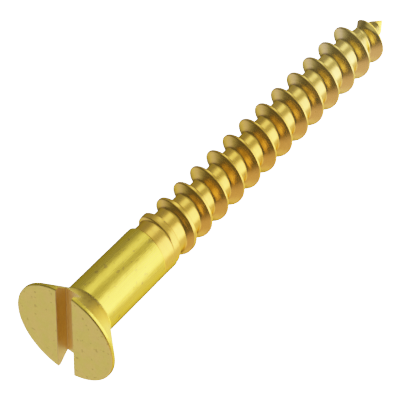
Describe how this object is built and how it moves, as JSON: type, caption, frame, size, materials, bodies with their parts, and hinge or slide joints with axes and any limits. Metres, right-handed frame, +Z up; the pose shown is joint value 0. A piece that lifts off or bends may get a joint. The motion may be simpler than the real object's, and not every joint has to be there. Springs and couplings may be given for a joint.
{
  "type": "wood screw",
  "caption": "Slotted countersunk wood screw in solid brass, part threaded with a gimlet point, for fixing hinges and fittings flush to timber.",
  "frame": {"origin": "on the screw's axis, half way between the face of the head and the tip", "axes": "+X along the axis from the head to the tip, +Z up with the screw lying on its side and the driver slot upright, +Y completes the right-handed set"},
  "size_m": [0.0382, 0.0086, 0.0084],
  "materials": {
    "brass": "bright turned brass: satin drawn shank, polished rolled thread, finely milled face and a sawn slot"
  },
  "bodies": {
    "root": {"wood_screw": "brass"}
  },
  "joints": []
}
